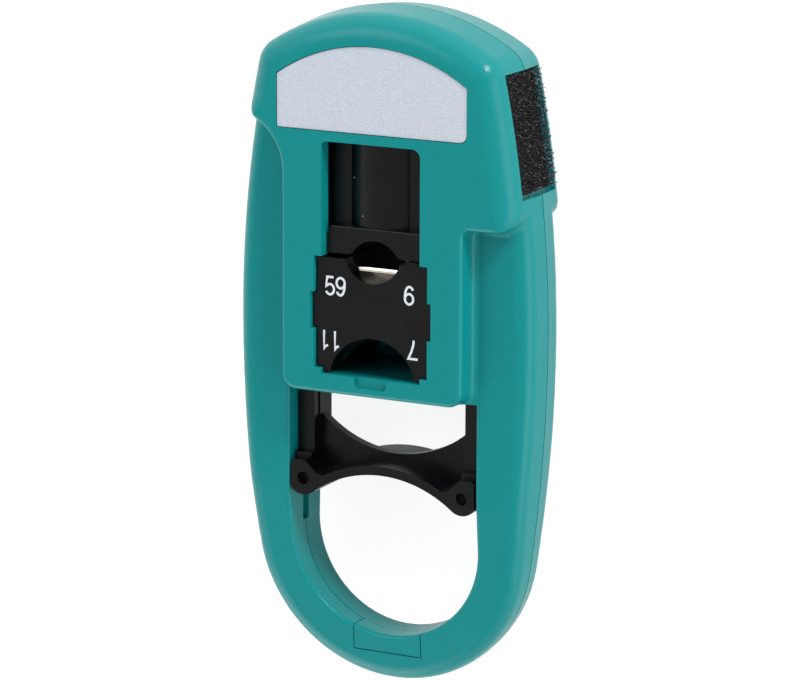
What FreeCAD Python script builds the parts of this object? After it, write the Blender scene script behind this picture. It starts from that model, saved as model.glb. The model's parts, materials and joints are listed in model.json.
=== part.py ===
import FreeCAD, Part
import math
import os
from FreeCAD import Vector

# A hand-held rotary stripper for coaxial cable, lying on its back.
# X runs across the tool, +Y points to the domed head, +Z is the labelled front.
# The origin is under the middle of the tool, on the plane that it lies on.
# All sizes are in millimetres, angles in degrees.

# Overall form of the housing
length = 135.0            # dome to the bottom of the finger loop
width = 64.8              # across the widest line
thickness = 24.0          # face to face over the head and the panel
arm_thickness = 14.4      # face to face over the arms and the loop
draft = 5.0               # outer walls lean in from the parting plane
dome_r = 44.5
shoulder_r = 6.3
upper_side_r = 245.0
lower_side_r = 330.0
head_round = 5.3          # front edge of the head
arm_round = 3.4           # front edge of the arms
loop_round = 0.8          # inner edge of the finger loop
face_round = 1.0          # edge of the raised panel
foot_round = 1.5          # where the panel meets the arms
flush_step = 0.03         # the head's wall stands this proud of the arms'
seam_groove = 0.15        # depth and half width of the line where the shells meet

top_y = length / 2
mid_z = thickness / 2
arm_top_z = mid_z + arm_thickness / 2
slope = math.tan(math.radians(draft))
widest_y = top_y - 63.1

# The arms' faces fall away towards the loop's end, the back one less
taper_bend_r = 60.0
front_taper_y = top_y - 92.0
front_taper = 5.2
back_taper_y = top_y - 80.0
back_taper = 1.6

# Raised head and panel
panel_half = 19.4
panel_bottom_y = top_y - 75.5
panel_corner_r = 3.0
left_ledge_r = 11.5
left_ledge_y = top_y - 32.6
right_ledge_y = top_y - 40.5
inner_corner_r = 1.5
ledge_end_r = 4.0

# Finger loop
loop_half = 20.45
loop_y = top_y - 105.0

# Walls and clearances
skin = 2.4                # wall of the arms
face_wall = 3.0           # front and back wall round the window
head_skin = 5.0           # wall of the head at its rounded edge
slide_gap = 0.3           # between a moving piece and its guide
fit_gap = 0.05            # between pieces that are assembled together

# Blade cassette, a stack of three blocks with a blade under each of the first two
cassette_half = 12.0
cassette_top_y = top_y - 48.6
cassette_height = 21.6
cassette_inset = 0.9      # its front lies below the housing's
well_floor = 3.0          # back shell's floor under the cassette
foot_half = 10.45
foot_height = 1.1
tab_reach = 0.75
tab_half_height = 3.38
tab_y = cassette_top_y - 10.52
cover_thickness = 3.1
blade_pitch = 6.35
small_notch_r = 6.2
small_notch_y = cassette_top_y + 1.8
large_notch_r = 9.4
large_notch_y = cassette_top_y - 24.6
blade_thickness = 0.5
blade_half = 9.6
blade_tip_y = cassette_top_y - 1.95
blade_step = 1.5          # the back blade cuts less deep
blade_bevel = 0.7
blade_arc_r = 8.3
cassette_screw_x = 10.3
cassette_screw_y = tab_y
cassette_screw_r = 0.8
cassette_screw_head_r = 1.5
cassette_screw_head = 1.1

# Jaw and barrel
jaw_half = 10.2
jaw_bottom_y = top_y - 47.8
jaw_height = 5.4
jaw_inset = 1.9
jaw_notch_r = 5.6
jaw_notch_depth = 3.1
jaw_end_round = 1.0
jaw_lip = 1.8             # where its notch runs out into the clamping edge
jaw_edge = 0.25
barrel_r = 9.8
barrel_top_y = top_y - 18.1
barrel_bore_r = 6.2
barrel_floor = 2.6
wing_half = 13.1          # guide wings beside the barrel, which close the window
wing_depth = 7.5
wing_round = 1.0

# Window, cavity and bore in the housing
window_half = 10.65
window_top_y = top_y - 25.7
window_left_r = 1.0
window_right_r = 1.8
cavity_half = 13.4
wing_top_y = window_top_y + 0.6
bore_end_y = top_y - 6.5
tube_wall = 2.3
post_r = 3.6
post_length = 4.8

# Plunger, two moulded halves that meet on the parting plane
travel = 7.3
rail_inner = 16.3
rail_outer = 20.1
rail_half = 3.6
rail_band = 0.25
rail_band_half = 1.7
yoke_y = top_y - 41.6
yoke_height = 3.8
yoke_half = 3.3
yoke_grip = 1.5           # how far the yoke reaches into the barrel
rib_reach = 1.3
rib_thickness = 1.7
rib_bottom_y = top_y - 98.0
slot_bottom_y = top_y - 105.0
saddle_half = 6.9
lobe_x = 17.4
lobe_y = top_y - 94.7
lobe_r = 3.4
lobe_flat_x = 20.15
lobe_top = 3.7
lobe_slope = 42.0
collar_top = 4.8          # block on the rail, behind each lobe
collar_half = 5.0
arch_y = top_y - 117.2
arch_plate = 1.8          # plate of the front half's arch
back_arch_plate = 3.1
web_half = 1.0
web_dip_r = 24.0
web_dip_y = top_y - 64.9
saddle_screw_r = 1.25
saddle_screw_head_r = 2.0
saddle_screw_head = 1.4
saddle_screw_seat = 3.5   # from its head to the parting plane
saddle_screw_length = 6.5

# Return spring
spring_wire = 1.1
spring_mean_r = 5.1
spring_turns = 7
spring_sides = 8          # the wire's section is a polygon, to keep the coil light
spring_end_gap = 0.1

# Screws that hold the shells together
head_screw_x = 16.4
head_screw_y = top_y - 12.8
arm_screw_x = 25.2
arm_screw_y = top_y - 61.0
boss_r = 3.4
screw_r = 1.45
screw_head_r = 2.8
screw_head = 2.0
screw_gap = 0.15
head_screw_seat = 6.0
arm_screw_seat = 3.0
head_screw_length = 13.0
arm_screw_length = 8.6
socket_r = 1.2
socket_depth = 1.1

# Label, thumb scallop, hook pad and the lug at the bottom of the loop
label_half = 20.5
label_bottom_y = top_y - 23.8
label_side = 10.6
label_arc_r = 35.5
label_left_r = 0.3
label_right_r = 1.5
label_recess = 0.6
label_plate = 0.4
label_gap = 0.15
scallop_half = 3.5
scallop_height = 2.2
scallop_depth = 0.8
scallop_r = 1.0
pad_top_y = top_y - 10.6
pad_length = 24.1
pad_recess_width = 14.6
pad_recess_depth = 1.6
pad_width = 12.2
pad_thickness = 0.9
pad_end_gap = 1.0
lug_half = 7.5
lug_height = 3.75
lug_gap = 0.2


# Plane geometry

def meet(c0, r0, c1, r1):
    """Point where two circles cross, on the right of the line from c0 to c1."""
    dx, dy = c1[0] - c0[0], c1[1] - c0[1]
    apart = math.hypot(dx, dy)
    along = (r0 * r0 - r1 * r1 + apart * apart) / (2 * apart)
    off = -math.sqrt(r0 * r0 - along * along)
    return (c0[0] + (along * dx - off * dy) / apart, c0[1] + (along * dy + off * dx) / apart)


def angle(centre, point):
    return math.atan2(point[1] - centre[1], point[0] - centre[0])


def flip(point):
    return (-point[0], point[1])


def arc(centre, radius, start, end, z):
    turns = (start, (start + end) / 2, end)
    points = [Vector(centre[0] + radius * math.cos(a), centre[1] + radius * math.sin(a), z) for a in turns]
    return Part.Arc(*points).toShape()


def line(p, q, z):
    return Part.LineSegment(Vector(p[0], p[1], z), Vector(q[0], q[1], z)).toShape()


def box(x0, x1, y0, y1, z0, z1):
    return Part.makeBox(x1 - x0, y1 - y0, z1 - z0, Vector(x0, y0, z0))


def post(x, y, radius, z0, z1):
    return Part.makeCylinder(radius, z1 - z0, Vector(x, y, z0))


def rod(x, z, radius, y0, y1):
    return Part.makeCylinder(radius, y1 - y0, Vector(x, y0, z), Vector(0, 1, 0))


def slab(wire, z0, z1):
    """A flat wire pushed up from z0 to z1."""
    face = Part.Face(wire)
    face.translate(Vector(0, 0, z0 - wire.BoundBox.ZMin))
    return face.extrude(Vector(0, 0, z1 - z0))


def joined(first, *others):
    return first.fuse(list(others)).removeSplitter()


def mirrored(shape):
    """The same shape on the other side of the parting plane."""
    return shape.mirror(Vector(0, 0, mid_z), Vector(0, 0, 1))


def both_sides(shape):
    return [shape, shape.mirror(Vector(0, 0, 0), Vector(1, 0, 0))]


def level(edge, z):
    return all(abs(v.Z - z) < 1e-3 for v in edge.Vertexes)


# Circles that the outline is built on, each tangent to the next
dome_c = (0.0, top_y - dome_r)
upper_c = (width / 2 - upper_side_r, widest_y)
lower_c = (width / 2 - lower_side_r, widest_y)
shoulder_c = meet(dome_c, dome_r - shoulder_r, upper_c, upper_side_r - shoulder_r)
end_reach = lower_side_r - length / 2
end_y = (end_reach ** 2 - widest_y ** 2 - lower_c[0] ** 2) / (2 * (end_reach - widest_y))
end_c = (0.0, end_y)
end_r = end_y + length / 2
loop_c = (0.0, loop_y)
dome_turn = angle(dome_c, shoulder_c)
side_turn = angle(upper_c, shoulder_c)
end_turn = angle(lower_c, end_c)


def outline(inset, z):
    """Outer line of the whole body, moved inwards by inset."""
    right = [
        (shoulder_c, shoulder_r, dome_turn, side_turn),
        (upper_c, upper_side_r, side_turn, 0.0),
        (lower_c, lower_side_r, 0.0, end_turn),
    ]
    edges = [arc(dome_c, dome_r - inset, math.pi - dome_turn, dome_turn, z)]
    edges += [arc(c, r - inset, a, b, z) for c, r, a, b in right]
    edges.append(arc(end_c, end_r - inset, end_turn, -math.pi - end_turn, z))
    edges += [arc(flip(c), r - inset, math.pi - b, math.pi - a, z) for c, r, a, b in reversed(right)]
    return Part.Wire(edges)


def raised_outline(z):
    """Outer line of the head and the panel below it, at height z."""
    inset = (z - mid_z) * slope
    grow = (thickness - z) * slope
    side_r = upper_side_r - inset
    half = panel_half + grow
    low_y = panel_bottom_y + panel_corner_r
    # the left ledge is a hollow arc, the right one is straight
    ledge_c = (-(panel_half + left_ledge_r), left_ledge_y)
    left_c = meet(flip(upper_c), side_r - ledge_end_r, ledge_c, left_ledge_r - grow + ledge_end_r)
    left_turn = angle(ledge_c, left_c)
    left_side = angle(flip(upper_c), left_c)
    ledge_y = right_ledge_y - grow
    right_y = ledge_y + ledge_end_r
    right_x = upper_c[0] + math.sqrt((side_r - ledge_end_r) ** 2 - (right_y - widest_y) ** 2)
    right_c = (right_x, right_y)
    right_turn = angle(upper_c, right_c)
    quarter = math.pi / 2
    return Part.Wire([
        arc(dome_c, dome_r - inset, math.pi - dome_turn, dome_turn, z),
        arc(shoulder_c, shoulder_r - inset, dome_turn, side_turn, z),
        arc(upper_c, side_r, side_turn, right_turn, z),
        arc(right_c, ledge_end_r, right_turn, -quarter, z),
        line((right_x, ledge_y), (half + inner_corner_r, ledge_y), z),
        arc((half + inner_corner_r, ledge_y - inner_corner_r), inner_corner_r, quarter, math.pi, z),
        line((half, ledge_y - inner_corner_r), (half, low_y), z),
        arc((half - panel_corner_r, low_y), panel_corner_r, 0, -quarter, z),
        line((half - panel_corner_r, panel_bottom_y), (panel_corner_r - half, panel_bottom_y), z),
        arc((panel_corner_r - half, low_y), panel_corner_r, -quarter, -math.pi, z),
        line((-half, low_y), (-half, left_ledge_y), z),
        arc(ledge_c, left_ledge_r - grow, 0, left_turn, z),
        arc(left_c, ledge_end_r, left_turn + math.pi, left_side, z),
        arc(flip(upper_c), side_r, left_side, math.pi - side_turn, z),
        arc(flip(shoulder_c), shoulder_r - inset, math.pi - side_turn, math.pi - dome_turn, z),
    ])


def round_edges(shape, rounds):
    """Round edges with a radius that may run from one value to another along an edge."""
    sheet = FreeCAD.newDocument()
    base = sheet.addObject("Part::Feature", "base")
    base.Shape = shape
    fillet = sheet.addObject("Part::Fillet", "fillet")
    fillet.Base = base
    fillet.Edges = rounds
    sheet.recompute()
    result = fillet.Shape.copy()
    FreeCAD.closeDocument(sheet.Name)
    return result


def raised_half():
    """Head and panel from the parting plane to the front face, with rounded edges."""
    solid = Part.makeLoft([raised_outline(mid_z), raised_outline(thickness)], True, True)
    body_circles = [dome_c, shoulder_c, flip(shoulder_c), upper_c, flip(upper_c)]
    rounds = []
    for number, edge in enumerate(solid.Edges, 1):
        if not level(edge, thickness):
            continue
        start, end = face_round, face_round
        if hasattr(edge.Curve, "Radius"):
            centre = edge.Curve.Center
            if any(math.hypot(centre.x - c[0], centre.y - c[1]) < 0.01 for c in body_circles):
                start, end = head_round, head_round
            elif abs(edge.Curve.Radius - ledge_end_r) < 1e-6:
                # the ledge's end blends the head's round into the panel's
                first_higher = edge.valueAt(edge.FirstParameter).y > edge.valueAt(edge.LastParameter).y
                start, end = (head_round, face_round) if first_higher else (face_round, head_round)
        rounds.append((number, start, end))
    return round_edges(solid, rounds)


def loop_wire(grow):
    """The finger loop's opening, grown by grow."""
    half = loop_half + grow
    top = panel_bottom_y + grow
    return Part.Wire([
        line((-half, top), (-half, loop_y), 0),
        arc(loop_c, half, math.pi, 2 * math.pi, 0),
        line((half, loop_y), (half, top), 0),
        line((half, top), (-half, top), 0),
    ])


def face_height(y, start_y, tilt):
    """Height of the arms' face: level, then a wide bend, then falling by tilt."""
    turn = math.radians(tilt)
    bend = taper_bend_r * math.sin(turn)
    down = start_y - y
    if down <= 0:
        return arm_top_z
    if down <= bend:
        return arm_top_z - taper_bend_r + math.sqrt(taper_bend_r ** 2 - down ** 2)
    return arm_top_z - taper_bend_r * (1 - math.cos(turn)) - (down - bend) * math.tan(turn)


def under_face(sink, start_y, tilt):
    """Everything below the arms' face, from the parting plane, with the face lowered by sink."""
    bend_end = start_y - taper_bend_r * math.sin(math.radians(tilt))
    bend_mid = start_y - taper_bend_r * math.sin(math.radians(tilt / 2))
    far = -length / 2 - 1

    def point(y):
        return Vector(-width, y, face_height(y, start_y, tilt) - sink)

    side = Part.Wire([
        Part.LineSegment(Vector(-width, top_y, mid_z), Vector(-width, top_y, arm_top_z - sink)).toShape(),
        Part.LineSegment(Vector(-width, top_y, arm_top_z - sink), point(start_y)).toShape(),
        Part.Arc(point(start_y), point(bend_mid), point(bend_end)).toShape(),
        Part.LineSegment(point(bend_end), point(far)).toShape(),
        Part.LineSegment(point(far), Vector(-width, far, mid_z)).toShape(),
        Part.LineSegment(Vector(-width, far, mid_z), Vector(-width, top_y, mid_z)).toShape(),
    ])
    return Part.Face(side).extrude(Vector(2 * width, 0, 0))


def face_edges(shape, start_y, tilt):
    """Edges round the arms' face, without the lines where its bend begins and ends."""
    found = []
    for e in shape.Edges:
        ends = [e.valueAt(e.FirstParameter), e.valueAt(e.LastParameter), e.CenterOfMass]
        on_face = all(abs(v.z - face_height(v.y, start_y, tilt)) < 1e-3 for v in ends[:2])
        if on_face and e.BoundBox.YLength > 0.01 and ends[2].z > mid_z + 1:
            found.append(e)
    return found


def arms_half(start_y, tilt):
    """Arms and loop from the parting plane to their front face."""
    rise = (arm_top_z - mid_z) * slope
    lines = [outline(flush_step, mid_z), outline(flush_step + rise, arm_top_z)]
    solid = Part.makeLoft(lines, True, True).common(under_face(0, start_y, tilt))
    solid = solid.makeFillet(arm_round, face_edges(solid, start_y, tilt))
    solid = solid.cut(slab(loop_wire(0), mid_z - 1, arm_top_z + 1))
    inner = [
        e for e in face_edges(solid, start_y, tilt)
        if abs(e.CenterOfMass.x) < loop_half + 0.1 and e.CenterOfMass.y < panel_bottom_y - 1
        and e.BoundBox.XLength < 2 * loop_half + 0.1
        and abs(math.hypot(e.Vertexes[0].X, min(0, e.Vertexes[0].Y - loop_y)) - loop_half) < 0.01
    ]
    return solid.makeFillet(loop_round, inner)


def seam_line():
    """Half of the shallow groove that runs round the body where the shells meet."""
    top = mid_z + seam_groove
    outside = slab(outline(-1, 0), mid_z - 1, top).cut(slab(outline(seam_groove, 0), mid_z - 2, top + 1))
    return [outside, slab(loop_wire(seam_groove), mid_z - 1, top)]


def outer_half(start_y, tilt):
    """Front half of the body, with the channels and slots that open into the loop."""
    solid = joined(raised_half(), arms_half(start_y, tilt))
    solid = solid.cut(rail_channels() + rib_slots() + seam_line())
    foot_line = raised_outline(arm_top_z)
    foot = [
        e for e in solid.Edges
        if level(e, arm_top_z) and e.CenterOfMass.y > panel_bottom_y + 0.5
        and foot_line.distToShape(Part.Vertex(e.valueAt(e.FirstParameter)))[0] < 0.01
        and foot_line.distToShape(Part.Vertex(e.valueAt(e.LastParameter)))[0] < 0.01
    ]
    return solid.makeFillet(foot_round, foot)


# Housing interior

def arm_hollow(start_y, tilt):
    """The hollow along the arms and the loop, from the parting plane inwards."""
    inner = loop_half + rib_reach + slide_gap + 1.4
    depth = arm_top_z - skin
    ring = slab(outline(skin, 0), mid_z, depth).common(under_face(skin, start_y, tilt))
    core = [
        box(-inner, inner, loop_y, top_y, mid_z, depth),
        post(0, loop_y, inner, mid_z, depth),
        box(-width, width, right_ledge_y - skin, top_y, mid_z, depth),
        box(-lug_half - skin, lug_half + skin, -length / 2, loop_y, mid_z, depth),
    ]
    bosses = [post(side * arm_screw_x, arm_screw_y, boss_r, mid_z, depth) for side in (-1, 1)]
    return ring.cut(core + bosses)


def head_hollow():
    """Two pockets in the head, beside the barrel's tube."""
    depth = thickness - label_recess - skin
    tube = barrel_r + slide_gap + tube_wall
    room = slab(outline(head_skin, 0), mid_z, depth)
    core = [
        box(-tube, tube, -top_y, top_y, mid_z, depth),
        box(-width, width, -top_y, window_top_y + skin, mid_z, depth),
    ]
    bosses = [post(side * head_screw_x, head_screw_y, boss_r, mid_z, depth) for side in (-1, 1)]
    return room.cut(core + bosses)


def yoke_end():
    """Upper end of the room that the yoke needs over its travel."""
    return yoke_y + yoke_height + travel + slide_gap


def rail_channels():
    """Channels for the plunger's rails, open at the panel's foot."""
    reach = rail_outer + slide_gap
    rail_depth = mid_z + rail_half + slide_gap
    return both_sides(box(rail_inner - slide_gap, reach, panel_bottom_y - 1, yoke_end(), mid_z, rail_depth))


def plunger_room():
    """Space in one half for the jaw, the barrel and the yoke over their travel."""
    reach = rail_outer + slide_gap
    depth = mid_z + yoke_half + slide_gap
    bore = rod(0, mid_z, barrel_r + slide_gap, cassette_top_y + slide_gap, bore_end_y)
    return [
        box(-cavity_half, cavity_half, cassette_top_y + slide_gap, window_top_y + 1,
            mid_z, thickness - face_wall),
        box(-reach, reach, yoke_y - slide_gap, yoke_end(), mid_z, depth),
        box(-cavity_half, cavity_half, window_top_y, wing_top_y + travel + slide_gap,
            mid_z, mid_z + wing_depth + slide_gap),
        bore.common(box(-width, width, -top_y, top_y, mid_z, thickness)),
    ]


def rib_slots():
    """Slots in the inner walls for the plunger's guide ribs."""
    top = mid_z + rib_thickness / 2 + slide_gap
    outer = rail_outer + rib_reach + slide_gap
    return both_sides(box(loop_half - 1, outer, slot_bottom_y, yoke_end(), mid_z, top))


def cassette_shape(grow, z0, z1, tabs):
    """The cassette's outline with its foot, grown all round by grow."""
    bottom = cassette_top_y - cassette_height
    parts = [
        box(-cassette_half - grow, cassette_half + grow, bottom - grow, cassette_top_y + grow, z0, z1),
        box(-foot_half - grow, foot_half + grow, bottom - foot_height - grow, cassette_top_y, z0, z1),
    ]
    if tabs:
        half = cassette_half + tab_reach + grow
        tall = tab_half_height + grow
        parts.append(box(-half, half, tab_y - tall, tab_y + tall, z0, z1))
    return joined(*parts)


def window_shape(z0, z1):
    """The window over the jaw, with round upper corners."""
    solid = box(-window_half, window_half, cassette_top_y, window_top_y, z0, z1)
    for side, radius in ((-1, window_left_r), (1, window_right_r)):
        corner = [
            e for e in solid.Edges
            if abs(e.BoundBox.ZLength - (z1 - z0)) < 1e-3
            and e.CenterOfMass.y > window_top_y - 1e-3 and e.CenterOfMass.x * side > window_half - 1e-3
        ]
        solid = solid.makeFillet(radius, corner)
    return solid


def shell_half(start_y, tilt, well_end):
    """What the two shells share: the outer form with window, cassette well and hollows."""
    solid = outer_half(start_y, tilt)
    cuts = [window_shape(mid_z, thickness + 1), cassette_shape(slide_gap, mid_z, well_end, False)]
    cuts += [arm_hollow(start_y, tilt), head_hollow()] + plunger_room()
    solid = solid.cut(cuts)
    spring_post = rod(0, mid_z, post_r, bore_end_y - post_length, bore_end_y + 0.5)
    return joined(solid, spring_post.common(box(-post_r, post_r, -top_y, top_y, mid_z, thickness)))


def label_wire(gap, z):
    """Label outline: straight foot and sides under an arched top, moved in by gap."""
    half = label_half - gap
    low = label_bottom_y + gap
    radius = label_arc_r - gap
    arc_y = label_bottom_y + label_side - math.sqrt(label_arc_r ** 2 - label_half ** 2)
    side_y = arc_y + math.sqrt(radius ** 2 - half ** 2)
    turn = math.asin(half / radius)
    left_r, right_r = label_left_r, label_right_r
    quarter = math.pi / 2
    return Part.Wire([
        line((-half, low + left_r), (-half, side_y), z),
        arc((0, arc_y), radius, quarter + turn, quarter - turn, z),
        line((half, side_y), (half, low + right_r), z),
        arc((half - right_r, low + right_r), right_r, 0, -quarter, z),
        line((half - right_r, low), (left_r - half, low), z),
        arc((left_r - half, low + left_r), left_r, -quarter, -math.pi, z),
    ])


def side_frame():
    """Middle of the hook pad's recess on the right side, and the turn that lays it there."""
    def on_side(y):
        return Vector(upper_c[0] + math.sqrt(upper_side_r ** 2 - (y - widest_y) ** 2), y, mid_z)
    low = on_side(pad_top_y - pad_length)
    high = on_side(pad_top_y)
    chord = high.sub(low)
    turn = math.degrees(math.atan2(-chord.x, chord.y))
    return (low.add(high)).multiply(0.5), turn


def side_block(depth, proud, y_low, y_high, z0, z1):
    """A block let into the right side face, square to it."""
    centre, turn = side_frame()
    solid = box(-depth, proud, y_low, y_high, z0, z1)
    solid.rotate(Vector(0, 0, 0), Vector(0, 0, 1), turn)
    solid.translate(Vector(centre.x, centre.y, 0))
    return solid


def pad_recess():
    half = pad_length / 2
    low = mid_z - pad_recess_width / 2
    return side_block(pad_recess_depth, 4, -half, half, low, low + pad_recess_width)


def hook_pad():
    """Fastener pad, set against the front end of its recess."""
    half = pad_length / 2
    front = mid_z + pad_recess_width / 2 - 0.2
    seat = pad_recess_depth
    return side_block(seat, pad_thickness - seat, -half + pad_end_gap, half - 0.2, front - pad_width, front)


def lug_shape(gap, z0):
    half = lug_half - gap
    return box(-half, half, loop_y - loop_half - lug_height + gap, loop_y, z0, thickness)


def scallop():
    """Shallow thumb recess that runs out into the cassette well."""
    low = cassette_top_y - cassette_height - foot_height - slide_gap - scallop_height
    solid = box(-scallop_half, scallop_half, low, low + scallop_height + 1,
                thickness - scallop_depth, thickness + 1)
    corners = [e for e in solid.Edges if e.BoundBox.ZLength > 1 and e.CenterOfMass.y < low + 0.1]
    return solid.makeFillet(scallop_r, corners)


def screw_places():
    """x, y, depth of the head's seat in the back shell and screw length, for the four screws."""
    return [
        (-head_screw_x, head_screw_y, head_screw_seat, head_screw_length),
        (head_screw_x, head_screw_y, head_screw_seat, head_screw_length),
        (-arm_screw_x, arm_screw_y, thickness / 2 - arm_thickness / 2 + arm_screw_seat, arm_screw_length),
        (arm_screw_x, arm_screw_y, thickness / 2 - arm_thickness / 2 + arm_screw_seat, arm_screw_length),
    ]


def front_shell():
    label_floor = thickness - label_recess
    cuts = [slab(label_wire(0, 0), label_floor, thickness + 1), scallop(), pad_recess()]
    tab_floor = thickness - cassette_inset - cover_thickness - slide_gap
    cuts.append(cassette_shape(slide_gap, tab_floor, thickness + 1, True))
    cuts += [post(x, y, screw_r, mid_z, seat + size + 0.5) for x, y, seat, size in screw_places()]
    cuts.append(lug_shape(0, mid_z - 1))
    return shell_half(front_taper_y, front_taper, thickness + 1).cut(cuts)


def back_shell():
    solid = mirrored(shell_half(back_taper_y, back_taper, thickness - well_floor))
    lug = arms_half(front_taper_y, front_taper).common(lug_shape(lug_gap, mid_z))
    cuts = [pad_recess(), post(0, small_notch_y, small_notch_r + slide_gap, -1, well_floor + 1)]
    for x, y, seat, size in screw_places():
        cuts.append(post(x, y, screw_r + screw_gap, 0, mid_z + 1))
        cuts.append(post(x, y, screw_head_r + screw_gap, -1, seat))
    return joined(solid, lug).cut(cuts)


def shell_screw(x, y, seat, size):
    """Pan-head screw with a cross recess, its head towards the back."""
    head = post(x, y, screw_head_r, seat - screw_head, seat)
    rim = [e for e in head.Edges if level(e, seat - screw_head)]
    head = head.makeFillet(screw_head * 0.6, rim)
    slot = box(-socket_r, socket_r, -0.3, 0.3, -1, socket_depth)
    cross = joined(slot, slot.rotated(Vector(0, 0, 0), Vector(0, 0, 1), 90))
    cross.translate(Vector(x, y, seat - screw_head))
    shank = post(x, y, screw_r, seat, seat + size - screw_r)
    tip = Part.makeCone(screw_r, 0.4, screw_r, Vector(x, y, seat + size - screw_r))
    return joined(head, shank, tip).cut(cross)


# Cassette

def notches(z0, z1):
    return [
        post(0, small_notch_y, small_notch_r, z0, z1),
        post(0, large_notch_y, large_notch_r, z0, z1),
    ]


def blade_pocket(face_z, tip_y):
    """Seat for a blade, sunk below a block's front face."""
    low = cassette_top_y - cassette_height - foot_height
    return box(-blade_half - fit_gap, blade_half + fit_gap, low - 1, tip_y + fit_gap,
               face_z - blade_thickness, face_z + 1)


def cassette_blocks():
    """Cover, spacer and base from front to back, with the heights of their front faces."""
    front = thickness - cassette_inset
    seat = front - cover_thickness
    second = seat - blade_pitch
    blocks = []
    back = well_floor + slide_gap
    for z0, z1, tabs in ((seat, front, True), (second, seat, False), (back, second, False)):
        solid = cassette_shape(0, z0, z1, tabs).cut(notches(z0 - 1, z1 + 1))
        blocks.append([solid, z0, z1])
    for block, tip_y in zip(blocks[1:], (blade_tip_y, blade_tip_y - blade_step)):
        block[0] = block[0].cut(blade_pocket(block[2], tip_y))
    return blocks


def cassette_pieces():
    (cover, seat, _), (spacer, _, _), (base, base_z, second) = cassette_blocks()
    thread = []
    clear = []
    counterbore = []
    for side in (-1, 1):
        x = side * cassette_screw_x
        thread.append(post(x, cassette_screw_y, cassette_screw_r, seat - 1, seat + 1.5))
        clear.append(post(x, cassette_screw_y, cassette_screw_r + screw_gap, 0, seat + 1))
        counterbore.append(post(x, cassette_screw_y, cassette_screw_head_r + screw_gap, 0,
                                base_z + cassette_screw_head + 0.2))
    blades = [blade(seat, blade_tip_y), blade(second, blade_tip_y - blade_step)]
    return cover.cut(thread), spacer.cut(clear), base.cut(clear + counterbore), blades


def blade(face_z, tip_y):
    """Two-ended blade: a straight edge for small cable, a hollow arc for large."""
    z0 = face_z - blade_thickness
    low = cassette_top_y - cassette_height
    plate = box(-blade_half, blade_half, low, tip_y, z0, face_z)
    plate = plate.cut([post(0, large_notch_y, blade_arc_r, z0 - 1, face_z + 1)])
    # each edge is ground from the front, down to a fine line on the back
    wedge = Part.Face(Part.makePolygon([
        Vector(-blade_half - 1, tip_y - blade_bevel, face_z),
        Vector(-blade_half - 1, tip_y + 0.01, z0 + 0.05),
        Vector(-blade_half - 1, tip_y + 1, face_z + 1),
        Vector(-blade_half - 1, tip_y - blade_bevel, face_z + 1),
        Vector(-blade_half - 1, tip_y - blade_bevel, face_z),
    ])).extrude(Vector(2 * blade_half + 2, 0, 0))
    cone = Part.makeCone(blade_arc_r, blade_arc_r + blade_bevel, blade_thickness - 0.05,
                         Vector(0, large_notch_y, z0 + 0.05))
    holes = [
        post(side * cassette_screw_x, cassette_screw_y, cassette_screw_r + screw_gap, z0 - 1, face_z + 1)
        for side in (-1, 1)
    ]
    return plate.cut([wedge, cone] + holes)


def cassette_screw(side):
    x = side * cassette_screw_x
    seat = well_floor + slide_gap + cassette_screw_head + 0.2
    end = thickness - cassette_inset - cover_thickness + 1.3
    head = post(x, cassette_screw_y, cassette_screw_head_r, seat - cassette_screw_head, seat)
    shank = post(x, cassette_screw_y, cassette_screw_r, seat, end)
    slot = box(x - cassette_screw_head_r, x + cassette_screw_head_r, cassette_screw_y - 0.2,
               cassette_screw_y + 0.2, 0, seat - cassette_screw_head + 0.5)
    return joined(head, shank).cut(slot)


# Plunger

def jaw_barrel():
    """Clamping jaw with the spring's barrel above it, between two guide wings."""
    block_top = jaw_bottom_y + jaw_height
    block = box(-jaw_half, jaw_half, jaw_bottom_y, block_top, jaw_inset, thickness - jaw_inset)
    ends = [e for e in block.Edges if e.BoundBox.ZLength > 1 and e.CenterOfMass.y > block_top - 0.01]
    block = block.makeFillet(jaw_end_round, ends)
    faces = [e for e in block.Edges if level(e, jaw_inset) or level(e, thickness - jaw_inset)]
    upper = [e for e in faces if e.CenterOfMass.y > jaw_bottom_y + 0.01]
    block = block.makeFillet(jaw_edge, upper)
    barrel = rod(0, mid_z, barrel_r, block_top - 1, barrel_top_y)
    wings = box(-wing_half, wing_half, block_top - 1, wing_top_y, mid_z - wing_depth, mid_z + wing_depth)
    wings = wings.makeFillet(wing_round, [e for e in wings.Edges if e.BoundBox.YLength > 1])
    bore = rod(0, mid_z, barrel_bore_r, block_top + barrel_floor, barrel_top_y + 1)
    notch = post(0, jaw_bottom_y + jaw_notch_depth - jaw_notch_r, jaw_notch_r, 0, thickness)
    sockets = both_sides(box(
        barrel_r - yoke_grip - fit_gap, wing_half + 1, yoke_y - fit_gap, yoke_y + yoke_height + fit_gap,
        mid_z - yoke_half - fit_gap, mid_z + yoke_half + fit_gap))
    solid = joined(block, barrel, wings).cut([bore, notch] + sockets)
    lips = [
        e for e in solid.Edges
        if e.BoundBox.ZLength > 2 * jaw_inset and e.BoundBox.XLength < 0.01
        and abs(e.CenterOfMass.y - jaw_bottom_y) < 0.01 and abs(e.CenterOfMass.x) < jaw_half - 1
    ]
    return solid.makeFillet(jaw_lip, lips)


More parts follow.
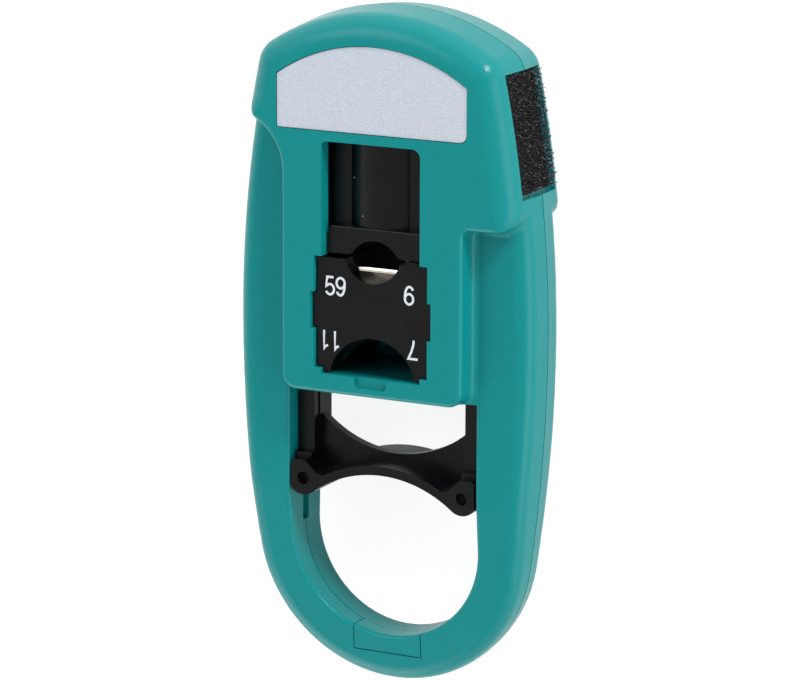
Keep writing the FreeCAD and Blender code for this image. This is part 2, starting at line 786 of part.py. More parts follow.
def saddle_wire(plate):
    """Front view of the finger saddle: an arched plate whose edges flow into two screw lobes."""
    arch_c = (0.0, arch_y)
    lobe_c = (lobe_x, lobe_y)
    turn = angle(arch_c, lobe_c)
    inner = math.hypot(lobe_x, lobe_y - arch_y) - lobe_r
    outer = inner + plate
    flat = math.acos((lobe_flat_x - lobe_x) / lobe_r)
    flat_y = lobe_y - lobe_r * math.sin(flat)
    top = lobe_y + lobe_top
    # the lobe's upper edge slopes down to the arch
    lean = math.radians(lobe_slope)
    start = (lobe_x - 0.3, top)
    reach = (start[0], start[1] - arch_y)
    along = reach[0] * math.cos(lean) + reach[1] * math.sin(lean)
    step = along - math.sqrt(along ** 2 - (reach[0] ** 2 + reach[1] ** 2 - outer ** 2))
    foot = (start[0] - step * math.cos(lean), start[1] - step * math.sin(lean))
    foot_turn = angle(arch_c, foot)
    right = [
        arc(lobe_c, lobe_r, turn - math.pi, -flat, 0),
        line((lobe_flat_x, flat_y), (lobe_flat_x, top), 0),
        line((lobe_flat_x, top), start, 0),
        line(start, foot, 0),
    ]
    left = [e.mirror(Vector(0, 0, 0), Vector(1, 0, 0)) for e in right]
    bottom = arc(arch_c, inner, math.pi - turn, turn, 0)
    crown = arc(arch_c, outer, math.pi - foot_turn, foot_turn, 0)
    return Part.Wire(Part.__sortEdges__([bottom, crown] + right + left))


def saddle(plate):
    solid = slab(saddle_wire(plate), mid_z, mid_z + saddle_half)
    upright = [e for e in solid.Edges if abs(e.BoundBox.ZLength - saddle_half) < 1e-3]
    shoulders = [e for e in upright if e.CenterOfMass.y > lobe_y + lobe_top - 0.01]
    feet = [e for e in upright if lobe_y < e.CenterOfMass.y < lobe_y + lobe_top - 0.1]
    solid = solid.makeFillet(0.9, shoulders)
    places = [f.CenterOfMass for f in feet]
    feet = [e for e in solid.Edges if any(e.CenterOfMass.distanceToPoint(c) < 1e-3 for c in places)]
    return solid.makeFillet(2.0, feet)


def web():
    """Thin web over the arch, dipped in the middle."""
    plate = box(-rail_inner - 1, rail_inner + 1, lobe_y, web_dip_y, mid_z, mid_z + web_half)
    inner = math.hypot(lobe_x, lobe_y - arch_y) - lobe_r
    return plate.cut([
        post(0, web_dip_y, web_dip_r, mid_z - 1, thickness),
        post(0, arch_y, inner + arch_plate / 2, mid_z - 1, thickness),
    ])


def plunger_half(plate):
    """Rails, yoke, web, guide ribs and saddle on the front side of the parting plane."""
    z0 = mid_z
    top = yoke_y + yoke_height
    rail = joined(
        box(rail_inner + rail_band, rail_outer, lobe_y, top, z0, z0 + rail_half),
        box(rail_inner, rail_outer, lobe_y, top, z0, z0 + rail_band_half),
        box(rail_inner + rail_band, lobe_flat_x, lobe_y, lobe_y + collar_top, z0, z0 + collar_half),
        box(barrel_r - yoke_grip, rail_outer, yoke_y, top, z0, z0 + yoke_half),
        box(rail_outer - 0.5, rail_outer + rib_reach, rib_bottom_y, top, z0, z0 + rib_thickness / 2),
    )
    return joined(saddle(plate), web(), *both_sides(rail))


def plunger_front():
    holes = [post(s * lobe_x, lobe_y, saddle_screw_r, mid_z - 1, thickness) for s in (-1, 1)]
    return plunger_half(arch_plate).cut(holes)


def plunger_back():
    solid = mirrored(plunger_half(back_arch_plate))
    seat = mid_z - saddle_screw_seat
    cuts = [post(s * lobe_x, lobe_y, saddle_screw_r + screw_gap, 0, mid_z + 1) for s in (-1, 1)]
    cuts += [post(s * lobe_x, lobe_y, saddle_screw_head_r + fit_gap, 0, seat) for s in (-1, 1)]
    return solid.cut(cuts)


def saddle_screw(side):
    """Screw that joins the plunger halves through a lobe."""
    x = side * lobe_x
    seat = mid_z - saddle_screw_seat
    head = post(x, lobe_y, saddle_screw_head_r, seat - saddle_screw_head, seat)
    shank = post(x, lobe_y, saddle_screw_r, seat, seat + saddle_screw_length)
    socket = post(x, lobe_y, saddle_screw_head_r * 0.5, 0, seat - saddle_screw_head + 0.7)
    return joined(head, shank).cut(socket)


def return_spring():
    """Compression spring between the barrel's floor and the end of the bore."""
    low = jaw_bottom_y + jaw_height + barrel_floor + spring_wire / 2 + spring_end_gap
    high = bore_end_y - spring_wire / 2 - spring_end_gap
    pitch = (high - low) / spring_turns
    path = Part.makeHelix(pitch, high - low, spring_mean_r)
    corners = []
    for number in range(spring_sides):
        turn = 2 * math.pi * (number + 0.5) / spring_sides
        across, up = spring_wire / 2 * math.cos(turn), spring_wire / 2 * math.sin(turn)
        corners.append(Vector(spring_mean_r + across, 0, up))
    section = Part.Wire(Part.makePolygon(corners + corners[:1]))
    coil = Part.Wire(path).makePipeShell([section], True, True)
    coil.rotate(Vector(0, 0, 0), Vector(1, 0, 0), -90)
    coil.translate(Vector(0, low, mid_z))
    return coil


def build():
    cover, spacer, base, blades = cassette_pieces()
    parts = {
        "front_shell": front_shell(),
        "back_shell": back_shell(),
        "label_plate": slab(
            label_wire(label_gap, 0), thickness - label_recess, thickness - label_recess + label_plate),
        "hook_pad": hook_pad(),
        "jaw_barrel": jaw_barrel(),
        "plunger_front": plunger_front(),
        "plunger_back": plunger_back(),
        "return_spring": return_spring(),
        "cassette_cover": cover,
        "cassette_spacer": spacer,
        "cassette_base": base,
        "front_blade": blades[0],
        "back_blade": blades[1],
    }
    for number, place in enumerate(screw_places(), 1):
        parts["shell_screw_%d" % number] = shell_screw(*place)
    for name, side in (("left", -1), ("right", 1)):
        parts["saddle_screw_" + name] = saddle_screw(side)
        parts["cassette_screw_" + name] = cassette_screw(side)
    return parts


def main():
    os.makedirs("parts", exist_ok=True)
    for name, shape in build().items():
        solid = shape.Solids[0] if len(shape.Solids) == 1 else shape
        print(name, "valid" if solid.isValid() else "NOT VALID", len(shape.Solids), round(solid.Volume, 1))
        solid.exportStep("parts/%s.step" % name)


main()
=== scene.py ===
import json
import math
import random

import bpy
import bmesh
from mathutils import Matrix, Vector


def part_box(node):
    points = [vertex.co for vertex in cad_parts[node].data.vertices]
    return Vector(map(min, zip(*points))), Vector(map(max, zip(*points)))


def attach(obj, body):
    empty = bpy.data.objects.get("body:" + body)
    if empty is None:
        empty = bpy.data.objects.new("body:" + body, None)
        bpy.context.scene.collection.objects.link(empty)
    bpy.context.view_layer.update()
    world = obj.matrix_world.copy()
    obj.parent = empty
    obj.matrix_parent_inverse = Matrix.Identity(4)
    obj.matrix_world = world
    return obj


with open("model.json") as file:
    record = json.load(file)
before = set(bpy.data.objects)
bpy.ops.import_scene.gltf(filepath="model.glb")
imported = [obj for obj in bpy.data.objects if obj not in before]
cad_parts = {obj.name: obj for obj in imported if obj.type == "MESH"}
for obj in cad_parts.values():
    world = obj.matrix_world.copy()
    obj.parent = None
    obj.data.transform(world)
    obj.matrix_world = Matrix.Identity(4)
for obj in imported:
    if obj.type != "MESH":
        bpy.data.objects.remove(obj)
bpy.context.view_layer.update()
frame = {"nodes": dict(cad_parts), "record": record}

MM = 0.001

# The photograph's viewpoint, as an orbit round the tool's front
CAM_TURN = 26.85          # degrees round the tool's length, towards the hook pad
CAM_RISE = 12.96          # degrees towards the head
CAM_ROLL = 0.23
CAM_DISTANCE = 784 * MM
CAM_TARGET = Vector((6.54, 4.4, 24.0)) * MM
CAM_SENSOR = 36.0
CAM_CLIP = (0.05, 20.0)
PICTURE_WIDTH = 800       # pixels
PIXELS_PER_MM = 5.2       # at the distance of CAM_TARGET
CAM_LENS = CAM_SENSOR * PIXELS_PER_MM * (CAM_DISTANCE / MM) / PICTURE_WIDTH

# Size marks on the cassette's cover
DIGIT_WIDTH = 2.24 * MM
DIGIT_HEIGHT = 3.9 * MM
DIGIT_STROKE = 0.47 * MM
DIGIT_GAP = 0.1 * MM
ONES_GAP = 0.15 * MM      # between the two narrow digits of the mark 11
INK_LIFT = 0.02 * MM      # height of the ink over the cover
INK_STEP = 0.0002 * MM    # how much higher each stretch of a stroke lies than the last
COVER_FACE_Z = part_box("cassette_cover")[1].z
MARKS = [                 # name, digits, middle in millimetres and turn in degrees
    ("mark_59", "59", (-8.0, 13.35), 0),
    ("mark_6", "6", (8.0, 13.1), 0),
    ("mark_11", "11", (-9.05, 2.45), 180),
    ("mark_7", "7", (8.8, 2.4), 180),
]

# Hooks on the fastener pad
PAD_LENGTH = 22.9 * MM    # along the tool
HOOK_PITCH = 0.72 * MM
HOOK_HEIGHT = 0.9 * MM
HOOK_RADIUS = 0.085 * MM
HOOK_SCATTER = 0.35       # how far a hook strays from its place, as a share of the pitch
HOOK_LEAN = 0.3 * MM
HOOK_CURL = 0.22 * MM
ROOT_DEPTH = 0.05 * MM    # how deep hooks and threads start in the pad
FRAY_THREADS = 120        # loose threads along the pad's rear edge
FRAY_LENGTH = 2.4 * MM

# Dust on the jaw's barrel
BARREL_R = 9.8 * MM       # radius of the barrel
DUST = [                  # place across and along the tool, and radius, in millimetres
    (-5.4, 34.5, 0.13),
    (-2.9, 27.3, 0.12),
]

# Where materials change along a piece, and where shade and a highlight are painted on
SHADE_FADE = 0.2 * MM
WELL_END_LOW_Y = -4.6 * MM     # end wall of the cassette's well, which gets painted shade
WELL_END_HIGH_Y = -2.4 * MM
WELL_END_HALF = 12 * MM
WELL_SHADE_TOP_Z = 23.4 * MM
WELL_SHADE_FULL_Z = 21.5 * MM
BARREL_SHADE_Z = 17 * MM       # below this the barrel is matt and has painted shade
BLADE_PAINTED_SHADE_Y = 12 * MM         # painted shade on the blade below this, inside the cassette
BLADE_BEVEL_Y = 16.55 * MM     # the ground slant of the blade begins here, with its painted highlight
BEVEL_FADE = 0.1 * MM

# Light levels of the studio, where 1 shows as white
ROOM_WALL = 1.3
ROOM_CEILING = 0.47
ROOM_CEILING_FROM = 0.75  # height in the sky, as a share of straight up, where the ceiling begins
FLOOR_HALF = 3.0
FLOOR_ALBEDO = 0.8
FLOOR_GLOSS = 0.3         # light the floor adds in reflections
FLOOR_SEEN = 0.85         # light the floor adds for the camera, over a darker albedo
FLOOR_SEEN_ALBEDO = 0.3
LAMP_AIM = Vector((0, 0, 12.0)) * MM
LAMPS = [                 # name, place, size and watts of each soft box
    ("key_box", (-0.45, 0.55, 0.75), (0.5, 0.5), 1.8),
    ("corner_box", (0.6, 0.88, 0.33), (0.18, 0.18), 6.0),
    ("fill_box", (-0.6, -0.85, 0.42), (0.8, 0.8), 4.4),
    ("side_box", (1.0, -0.15, 0.12), (0.9, 0.9), 3.5),
]


def linear(r, g, b):
    """A display colour, 0 to 255, as the linear colour that a shader takes."""
    def one(c):
        c /= 255
        return c / 12.92 if c <= 0.04045 else ((c + 0.055) / 1.055) ** 2.4
    return (one(r), one(g), one(b), 1.0)


def set_range(node, low, high, to_low, to_high):
    """Sets a Map Range node to turn low into to_low and high into to_high."""
    node.inputs["From Min"].default_value = low
    node.inputs["From Max"].default_value = high
    node.inputs["To Min"].default_value = to_low
    node.inputs["To Max"].default_value = to_high


class Shader:
    """Short names for building one node material."""

    def __init__(self, name):
        self.mat = bpy.data.materials.new(name)
        self.mat.use_nodes = True
        self.nodes = self.mat.node_tree.nodes
        self.links = self.mat.node_tree.links
        self.bsdf = self.nodes["Principled BSDF"]
        self.coords = self.nodes.new("ShaderNodeTexCoord").outputs["Object"]

    def put(self, socket, value):
        """Links another node's output to the socket, or sets it to a plain value."""
        if hasattr(value, "is_linked"):
            self.links.new(value, socket)
        else:
            socket.default_value = value

    def base(self, **values):
        """Sets the main shader's sockets, named with _ for each space."""
        for name, value in values.items():
            self.put(self.bsdf.inputs[name.replace("_", " ")], value)

    def noise(self, size, detail=3.0, rough=0.55, stretch=(1, 1, 1)):
        """Noise whose lumps are about size metres across."""
        scaled = self.nodes.new("ShaderNodeMapping")
        scaled.inputs["Scale"].default_value = [s / size for s in stretch]
        self.links.new(self.coords, scaled.inputs["Vector"])
        node = self.nodes.new("ShaderNodeTexNoise")
        node.inputs["Scale"].default_value = 1.0
        node.inputs["Detail"].default_value = detail
        node.inputs["Roughness"].default_value = rough
        self.links.new(scaled.outputs[0], node.inputs["Vector"])
        return node.outputs["Fac"]

    def remap(self, value, low, high, to_low=0.0, to_high=1.0):
        node = self.nodes.new("ShaderNodeMapRange")
        self.put(node.inputs["Value"], value)
        set_range(node, low, high, to_low, to_high)
        return node.outputs[0]

    def spread(self, noise, to_low=0.0, to_high=1.0):
        """The span that most of a noise's values fill, stretched to another."""
        return self.remap(noise, 0.3, 0.7, to_low, to_high)

    def mix(self, factor, a, b):
        node = self.nodes.new("ShaderNodeMix")
        node.data_type = "RGBA"
        self.put(node.inputs[0], factor)
        self.put(node.inputs[6], a)
        self.put(node.inputs[7], b)
        return node.outputs[2]

    def math(self, operation, a, b=0.0):
        node = self.nodes.new("ShaderNodeMath")
        node.operation = operation
        self.put(node.inputs[0], a)
        self.put(node.inputs[1], b)
        return node.outputs[0]

    def bump(self, height, distance, strength):
        node = self.nodes.new("ShaderNodeBump")
        node.inputs["Distance"].default_value = distance
        node.inputs["Strength"].default_value = strength
        self.put(node.inputs["Height"], height)
        return node.outputs[0]

    def gloss(self, level):
        self.bsdf.inputs["Specular IOR Level"].default_value = level

    def axis(self, name, of=None):
        """One part of the place on the piece, or of another vector."""
        node = self.nodes.new("ShaderNodeSeparateXYZ")
        self.links.new(of or self.coords, node.inputs[0])
        return node.outputs[name]


def painted_well_shade(s):
    """1 on the end wall of the cassette's well, which lies in the cassette's shade and gets painted
    shade, and 0 elsewhere.
    """
    across = s.math("ABSOLUTE", s.axis("X"))
    shade = s.remap(s.axis("Y"), WELL_END_LOW_Y, WELL_END_LOW_Y + SHADE_FADE)
    for limit in (
        s.remap(s.axis("Y"), WELL_END_HIGH_Y, WELL_END_HIGH_Y - SHADE_FADE),
        s.remap(across, WELL_END_HALF, WELL_END_HALF - SHADE_FADE),
        s.remap(s.axis("Z"), WELL_SHADE_TOP_Z, WELL_SHADE_FULL_Z),
    ):
        shade = s.math("MULTIPLY", shade, limit)
    return shade


def teal_plastic():
    """Moulded plastic with a fine grain, satin, with painted shade on the end wall of the cassette's
    well.
    """
    s = Shader("teal_plastic")
    grain = s.noise(0.45 * MM, 3.0, 0.6)
    cloud = s.noise(7 * MM, 3.0)
    colour = s.mix(s.remap(grain, 0.35, 0.65), linear(10, 137, 138), linear(14, 141, 142))
    colour = s.mix(s.spread(cloud, 0.0, 0.35), colour, linear(10, 134, 135))
    # painted shade: the end wall of the cassette's well is painted a darker teal
    colour = s.mix(painted_well_shade(s), colour, linear(10, 94, 96))
    s.base(Base_Color=colour, Roughness=s.spread(grain, 0.19, 0.27), Normal=s.bump(grain, 0.05 * MM, 0.9))
    s.gloss(0.25)
    return s.mat


def black_plastic(name, low=None):
    """Half-gloss black, matt and with painted shade below the height low where one is given."""
    s = Shader(name)
    grain = s.noise(0.35 * MM, 3.0)
    wipe = s.noise(5 * MM, 4.0, 0.6)
    colour = s.mix(s.remap(wipe, 0.35, 0.7), linear(3, 4, 5), linear(6, 7, 9))
    rough = s.spread(wipe, 0.24, 0.34)
    if low is not None:
        # painted shade: darker colour below the height low
        painted_shade = s.remap(s.axis("Z"), low + 3 * MM, low)
        colour = s.mix(painted_shade, colour, linear(2, 3, 4))
        rough = s.math("MAXIMUM", rough, s.math("MULTIPLY", painted_shade, 0.8))
    s.base(Base_Color=colour, Roughness=rough, Normal=s.bump(grain, 0.006 * MM, 0.5))
    s.gloss(0.35)
    return s.mat


def inner_plastic():
    """The matt black plastic of the cassette's inner blocks."""
    s = Shader("inner_plastic")
    grain = s.noise(0.35 * MM, 3.0)
    colour = s.mix(grain, linear(12, 13, 14), linear(17, 18, 19))
    s.base(Base_Color=colour, Roughness=0.85, Normal=s.bump(grain, 0.01 * MM, 0.5))
    s.gloss(0.1)
    return s.mat


def label_film():
    """Silver-white film with a fine speckle."""
    s = Shader("label_film")
    speck = s.noise(0.24 * MM, 2.0, 0.7)
    patch = s.noise(1.3 * MM, 2.0)
    colour = s.mix(s.spread(speck), linear(180, 189, 201), linear(219, 226, 236))
    colour = s.mix(s.remap(patch, 0.4, 0.7, 0.0, 0.4), colour, linear(192, 198, 211))
    s.base(Base_Color=colour, Roughness=s.spread(speck, 0.38, 0.5), Normal=s.bump(speck, 0.008 * MM, 0.4))
    s.gloss(0.3)
    return s.mat


def hook_fabric():
    """The dark weave under the hooks."""
    s = Shader("hook_fabric")
    weave = s.noise(0.25 * MM, 2.0, 0.6)
    colour = s.mix(s.remap(weave, 0.4, 0.7), linear(12, 12, 14), linear(26, 26, 28))
    s.base(Base_Color=colour, Roughness=0.7, Normal=s.bump(weave, 0.06 * MM, 0.8))
    s.gloss(0.2)
    return s.mat


def hook_nylon():
    """Dark hooks, with painted glints on a few of them."""
    s = Shader("hook_nylon")
    tone = s.noise(0.4 * MM, 2.0)
    # painted highlight: a few hooks are painted pale, as glints
    colour = s.mix(s.remap(tone, 0.56, 0.64), linear(5, 5, 6), linear(140, 138, 142))
    s.base(Base_Color=colour, Roughness=s.spread(tone, 0.3, 0.45))
    s.gloss(0.3)
    return s.mat


def metal(s, shade, rough, stretch):
    """Gives the shader a metal with fine lines, and returns its colour."""
    lines = s.noise(0.12 * MM, 3.0, 0.6, stretch)
    colour = s.mix(s.spread(lines), linear(*[c - 16 for c in shade]), linear(*shade))
    polish = s.spread(lines, rough - 0.06, rough + 0.06)
    s.base(Base_Color=colour, Metallic=1.0, Roughness=polish, Normal=s.bump(lines, 0.004 * MM, 0.4))
    return colour


def steel(name, shade, rough):
    """Plain steel, for the screws and the spring."""
    s = Shader(name)
    metal(s, shade, rough, (1, 1, 1))
    return s.mat


def blade_steel():
    """Ground steel, with a painted highlight on the slant of its front edge and painted shade inside the
    cassette.
    """
    s = Shader("blade_steel")
    colour = metal(s, (150, 142, 132), 0.16, (0.15, 1, 1))
    # painted highlight: the slant of the front edge is painted near white
    facing = s.math("ABSOLUTE", s.axis("Z", s.coords.node.outputs["Normal"]))
    slant = s.remap(facing, 0.97, 0.93)
    front = s.remap(s.axis("Y"), BLADE_BEVEL_Y, BLADE_BEVEL_Y + BEVEL_FADE)
    colour = s.mix(s.math("MULTIPLY", slant, front), colour, linear(240, 240, 238))
    # painted shade: the blade is painted dark towards its lower end, inside the cassette
    clear_of_painted_shade = s.remap(s.axis("Y"), BLADE_PAINTED_SHADE_Y - 2 * MM, BLADE_PAINTED_SHADE_Y)
    s.base(Base_Color=s.mix(clear_of_painted_shade, linear(40, 40, 40), colour))
    return s.mat


def number_ink():
    """White printing ink, a little worn."""
    s = Shader("number_ink")
    wear = s.noise(0.3 * MM, 3.0)
    colour = s.mix(s.spread(wear), linear(212, 218, 230), linear(236, 240, 247))
    s.base(Base_Color=colour, Roughness=0.5, Normal=s.bump(wear, 0.004 * MM, 0.5))
    return s.mat


def dust():
    """Pale grey grains."""
    s = Shader("dust")
    tone = s.noise(0.1 * MM, 2.0)
    s.base(Base_Color=s.mix(tone, linear(120, 118, 112), linear(190, 188, 180)), Roughness=0.9)
    return s.mat


MATERIALS = {
    "teal_plastic": teal_plastic(),
    "black_plastic": black_plastic("black_plastic"),
    "barrel_plastic": black_plastic("barrel_plastic", BARREL_SHADE_Z),
    "inner_plastic": inner_plastic(),
    "label_film": label_film(),
    "hook_fabric": hook_fabric(),
    "hook_nylon": hook_nylon(),
    "blade_steel": blade_steel(),
    "screw_steel": steel("screw_steel", (190, 188, 184), 0.3),
    "spring_steel": steel("spring_steel", (160, 162, 165), 0.35),
    "number_ink": number_ink(),
    "dust": dust(),
}


def finish_nodes():
    """Gives every CAD node its slot's material, or another kind of it: matt black for the cassette's
    inner blocks, and black with painted shade below for the barrel.
    """
    slots = {part["node"]: part["material_slot"] for part in frame["record"]["subparts"]}
    slots["cassette_spacer"] = slots["cassette_base"] = "inner_plastic"
    slots["jaw_barrel"] = "barrel_plastic"
    for name, obj in frame["nodes"].items():
        if not obj.material_slots:
            obj.data.materials.append(None)
        for place in obj.material_slots:
            place.material = MATERIALS[slots[name]]


def new_mesh(name, verts, faces, material, body, smooth=True):
    """Adds a piece that moves with a body, with one of the script's materials."""
    mesh = bpy.data.meshes.new(name)
    mesh.from_pydata(verts, [], faces)
    mesh.update()
    if smooth:
        mesh.polygons.foreach_set("use_smooth", [True] * len(faces))
    mesh.materials.append(MATERIALS[material])
    obj = bpy.data.objects.new(name, mesh)
    bpy.context.scene.collection.objects.link(obj)
    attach(obj, body)
    return obj


def sweep(centre, radii, start, end):
    """Points along part of an ellipse, from one angle to another in degrees."""
    steps = max(3, round(abs(end - start) / 12))
    turns = [math.radians(start + (end - start) * i / steps) for i in range(steps + 1)]
    return [(centre[0] + radii[0] * math.cos(a), centre[1] + radii[1] * math.sin(a)) for a in turns]


def digit_line(digit):
    """Middle line of a digit, in a box of DIGIT_WIDTH by DIGIT_HEIGHT."""
    edge = DIGIT_STROKE / 2
    left, right = edge, DIGIT_WIDTH - edge
    low, high = edge, DIGIT_HEIGHT - edge
    middle = DIGIT_WIDTH / 2
    bowl = ((right - left) / 2, DIGIT_HEIGHT * 0.26)
    bowl_centre = (middle, low + bowl[1])
    if digit == "1":
        stem = middle + 0.2 * MM
        flag = (stem - 0.85 * MM, high - 0.75 * MM)
        notch = (stem - 0.3 * MM, high - 0.5 * MM)
        return [flag, notch, (stem, high), (stem, 0)]
    if digit == "5":
        neck = [(left + 0.3 * MM, high), (left + 0.06 * MM, low + 1.55 * bowl[1])]
        return [(right - 0.1 * MM, high)] + neck + sweep(bowl_centre, bowl, 130, -155)
    if digit == "7":
        knee = (middle + 0.25 * MM, DIGIT_HEIGHT * 0.58)
        shin = (middle - 0.15 * MM, DIGIT_HEIGHT * 0.25)
        return [(0, high), (right, high), knee, shin, (middle - 0.25 * MM, 0)]
    # a 6: its hook at the top, its long back and its bowl
    hook_radius = 1.0 * MM
    hook = (middle + 0.05 * MM, high - hook_radius)
    back = (hook[0], low + bowl[1] + 0.35 * MM)
    line = sweep(hook, (bowl[0] - 0.08 * MM, hook_radius), 20, 90)
    line += sweep(back, (back[0] - left, high - back[1]), 100, 180)
    line += sweep(bowl_centre, bowl, 180, 540)
    if digit == "9":
        line = [(DIGIT_WIDTH - x, DIGIT_HEIGHT - y) for x, y in line]
    return line


def ribbon(line, width):
    """Left and right points of a flat stroke along a line, mitred at its corners."""
    pairs = []
    for i, point in enumerate(line):
        before = Vector(line[max(i - 1, 0)])
        after = Vector(line[min(i + 1, len(line) - 1)])
        here = Vector(point)
        first = (here - before).normalized() if i else (after - here).normalized()
        second = (after - here).normalized() if i < len(line) - 1 else first
        heading = (first + second).normalized()
        side = Vector((-heading.y, heading.x))
        reach = width / 2 / max(0.5, heading.dot(first))
        pairs.append((here + side * reach, here - side * reach))
    return pairs


def numbers():
    """Cable size marks on the cassette's cover, the lower pair upside down."""
    for name, text, (x, y), turn in MARKS:
        verts, faces = [], []
        step = DIGIT_WIDTH + (ONES_GAP if text == "11" else DIGIT_GAP)
        total = DIGIT_WIDTH + step * (len(text) - 1)
        spin = Matrix.Rotation(math.radians(turn), 4, "Z")
        for place, digit in enumerate(text):
            first = len(verts)
            pairs = ribbon(digit_line(digit), DIGIT_STROKE)
            for i, pair in enumerate(pairs):
                # no two stretches lie in one plane where a stroke crosses itself
                middle = Vector((x * MM, y * MM, COVER_FACE_Z + INK_LIFT + i * INK_STEP))
                for point in pair:
                    flat = Vector((point.x + place * step - total / 2, point.y - DIGIT_HEIGHT / 2, 0))
                    verts.append(spin @ flat + middle)
                if i:
                    a = first + 2 * i
                    faces.append((a - 2, a - 1, a + 1, a))
        new_mesh(name, verts, faces, "number_ink", "cassette", smooth=False)


def strand(points, radius, verts, faces):
    """Adds a thin four-sided strand along the points."""
    first = len(verts)
    for i, point in enumerate(points):
        ahead = (points[min(i + 1, len(points) - 1)] - points[max(i - 1, 0)]).normalized()
        side = ahead.orthogonal().normalized()
        other = ahead.cross(side)
        verts += [point + reach * radius for reach in (side, other, -side, -other)]
        if i:
            a = first + 4 * i
            faces += [(a - 4 + k, a - 4 + (k + 1) % 4, a + (k + 1) % 4, a + k) for k in range(4)]
    faces.append(tuple(range(len(verts) - 4, len(verts))))


def hooks():
    """Rows of nylon hooks on the pad, with loose threads along its rear edge."""
    dice = random.Random(11)
    mount = next(m for m in frame["record"]["mounts"] if m["name"] == "hook_face")
    centre = Vector(mount["pos_m"])
    out = Vector(mount["axis"]).normalized()
    front = Vector((0, 0, 1))
    along = front.cross(out)
    low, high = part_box("hook_pad")
    width = high.z - low.z
    centre.z = (low.z + high.z) / 2
    rows = int(PAD_LENGTH / HOOK_PITCH)
    columns = int(width / HOOK_PITCH)
    verts, faces = [], []
    for row in range(rows):
        for column in range(columns):
            y = (row + 0.5 + dice.uniform(-HOOK_SCATTER, HOOK_SCATTER)) / rows - 0.5
            z = (column + 0.5 + dice.uniform(-HOOK_SCATTER, HOOK_SCATTER)) / columns - 0.5
            root = centre + along * (y * PAD_LENGTH) + front * (z * width)
            lean = (along * dice.uniform(-1, 1) + front * dice.uniform(-1, 1)) * HOOK_LEAN
            height = HOOK_HEIGHT * dice.uniform(0.7, 1.15)
            bend = along * dice.choice((-1, 1)) + front * dice.uniform(-0.6, 0.6)
            bend = bend.normalized() * HOOK_CURL
            points = [
                root - out * ROOT_DEPTH,
                root + out * height * 0.6 + lean * 0.6,
                root + out * height * 0.95 + lean + bend * 0.4,
                root + out * height + lean + bend,
                root + out * height * 0.72 + lean + bend * 1.8,
            ]
            strand(points, HOOK_RADIUS, verts, faces)
    for thread in range(FRAY_THREADS):
        root = centre + along * ((thread + dice.random()) / FRAY_THREADS - 0.5) * PAD_LENGTH
        root -= front * (width / 2 - dice.uniform(0.1, 1.2) * MM)
        reach = FRAY_LENGTH * dice.uniform(0.6, 1.1)
        drift = along * dice.uniform(-0.5, 0.5) * reach
        points = [root - out * ROOT_DEPTH]
        for share in (0.2, 0.5, 0.8, 1.0):
            rise = (0.35 + 0.45 * share + dice.uniform(-0.12, 0.12)) * MM
            points.append(root + out * rise + drift * share ** 1.5 - front * reach * share)
        strand(points, HOOK_RADIUS, verts, faces)
    new_mesh("pad_hooks", verts, faces, "hook_nylon", "housing")


def specks():
    """Specks of dust on the barrel."""
    mid_z = (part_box("jaw_barrel")[0].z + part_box("jaw_barrel")[1].z) / 2
    for number, (x, y, size) in enumerate(DUST, 1):
        form = bmesh.new()
        bmesh.ops.create_icosphere(form, subdivisions=2, radius=size * MM)
        dice = random.Random(number)
        for vert in form.verts:
            vert.co *= dice.uniform(0.8, 1.2)
        place = Vector((x, y, 0)) * MM
        place.z = mid_z + math.sqrt(BARREL_R ** 2 - place.x ** 2)
        verts = [vert.co + place for vert in form.verts]
        faces = [[vert.index for vert in face.verts] for face in form.faces]
        form.free()
        new_mesh("dust_%d" % number, verts, faces, "dust", "plunger")


def camera():
    """Looks at CAM_TARGET from CAM_DISTANCE, turned, raised and rolled as in the photograph."""
    turn, rise, roll = (math.radians(a) for a in (CAM_TURN, CAM_RISE, CAM_ROLL))
    back = Vector((math.sin(turn) * math.cos(rise), math.sin(rise), math.cos(turn) * math.cos(rise)))
    level = Vector((math.cos(turn), 0, -math.sin(turn)))
    upright = back.cross(level)
    right = math.cos(roll) * level + math.sin(roll) * upright
    up = math.cos(roll) * upright - math.sin(roll) * level
    data = bpy.data.cameras.new("camera")
    data.sensor_width = CAM_SENSOR
    data.lens = CAM_LENS
    data.clip_start, data.clip_end = CAM_CLIP
    obj = bpy.data.objects.new("camera", data)
    bpy.context.scene.collection.objects.link(obj)
    facing = Matrix((right, up, back)).transposed().to_4x4()
    obj.matrix_world = Matrix.Translation(CAM_TARGET + back * CAM_DISTANCE) @ facing
    bpy.context.scene.camera = obj


def soft_box(name, place, size, watts):
    """A square lamp that faces LAMP_AIM."""
    data = bpy.data.lights.new(name, "AREA")
    data.shape = "RECTANGLE"
    data.size, data.size_y = size
    data.energy = watts
    obj = bpy.data.objects.new(name, data)
    bpy.context.scene.collection.objects.link(obj)
    obj.location = place
    obj.rotation_euler = (LAMP_AIM - Vector(place)).to_track_quat("-Z", "Y").to_euler()


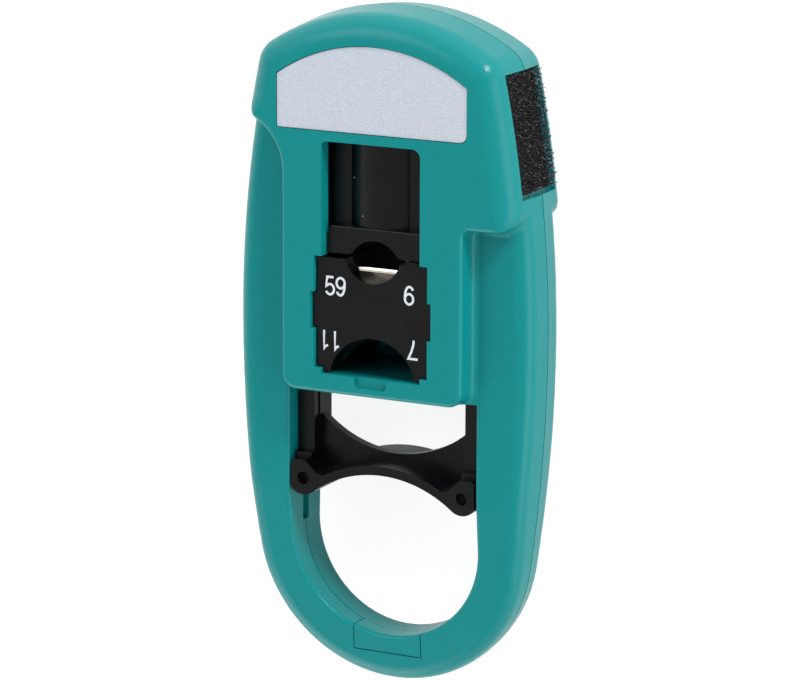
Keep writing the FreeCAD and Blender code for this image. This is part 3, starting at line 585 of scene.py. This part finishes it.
def floor_material():
    """Matt white, which the camera sees with a fainter shadow."""
    s = Shader("floor")
    path = s.nodes.new("ShaderNodeLightPath").outputs
    mirrored = s.math("MAXIMUM", path["Is Glossy Ray"], path["Is Transmission Ray"])
    seen = s.math("MULTIPLY", path["Is Camera Ray"], FLOOR_SEEN)
    glow = s.math("MAXIMUM", seen, s.math("MULTIPLY", mirrored, FLOOR_GLOSS))
    paint = s.mix(path["Is Camera Ray"], (FLOOR_ALBEDO,) * 3 + (1,), (FLOOR_SEEN_ALBEDO,) * 3 + (1,))
    s.base(Base_Color=paint, Roughness=0.9, Emission_Color=(1, 1, 1, 1), Emission_Strength=glow)
    return s.mat


def room():
    """Pale surroundings, darker overhead, which the camera sees as plain white."""
    world = bpy.data.worlds.new("studio")
    bpy.context.scene.world = world
    world.use_nodes = True
    nodes, links = world.node_tree.nodes, world.node_tree.links
    soft = nodes["Background"]
    soft.inputs["Color"].default_value = (1, 1, 1, 1)
    heading = nodes.new("ShaderNodeTexCoord")
    split = nodes.new("ShaderNodeSeparateXYZ")
    links.new(heading.outputs["Generated"], split.inputs[0])
    wall = nodes.new("ShaderNodeMapRange")
    wall.interpolation_type = "SMOOTHSTEP"
    links.new(split.outputs["Z"], wall.inputs["Value"])
    set_range(wall, 0.0, ROOM_CEILING_FROM, ROOM_WALL, ROOM_CEILING)
    links.new(wall.outputs[0], soft.inputs["Strength"])
    white = nodes.new("ShaderNodeBackground")
    white.inputs["Color"].default_value = (1, 1, 1, 1)
    path = nodes.new("ShaderNodeLightPath")
    blend = nodes.new("ShaderNodeMixShader")
    links.new(path.outputs["Is Camera Ray"], blend.inputs[0])
    links.new(soft.outputs[0], blend.inputs[1])
    links.new(white.outputs[0], blend.inputs[2])
    links.new(blend.outputs[0], nodes["World Output"].inputs["Surface"])


def white_floor():
    """The plain floor that the tool lies on."""
    mesh = bpy.data.meshes.new("floor")
    corners = [(x * FLOOR_HALF, y * FLOOR_HALF, 0) for x, y in ((-1, -1), (1, -1), (1, 1), (-1, 1))]
    mesh.from_pydata(corners, [], [(0, 1, 2, 3)])
    mesh.materials.append(floor_material())
    floor = bpy.data.objects.new("floor", mesh)
    bpy.context.scene.collection.objects.link(floor)


bpy.context.scene.view_settings.view_transform = "Standard"
finish_nodes()
numbers()
hooks()
specks()
camera()
room()
white_floor()
for lamp in LAMPS:
    soft_box(*lamp)
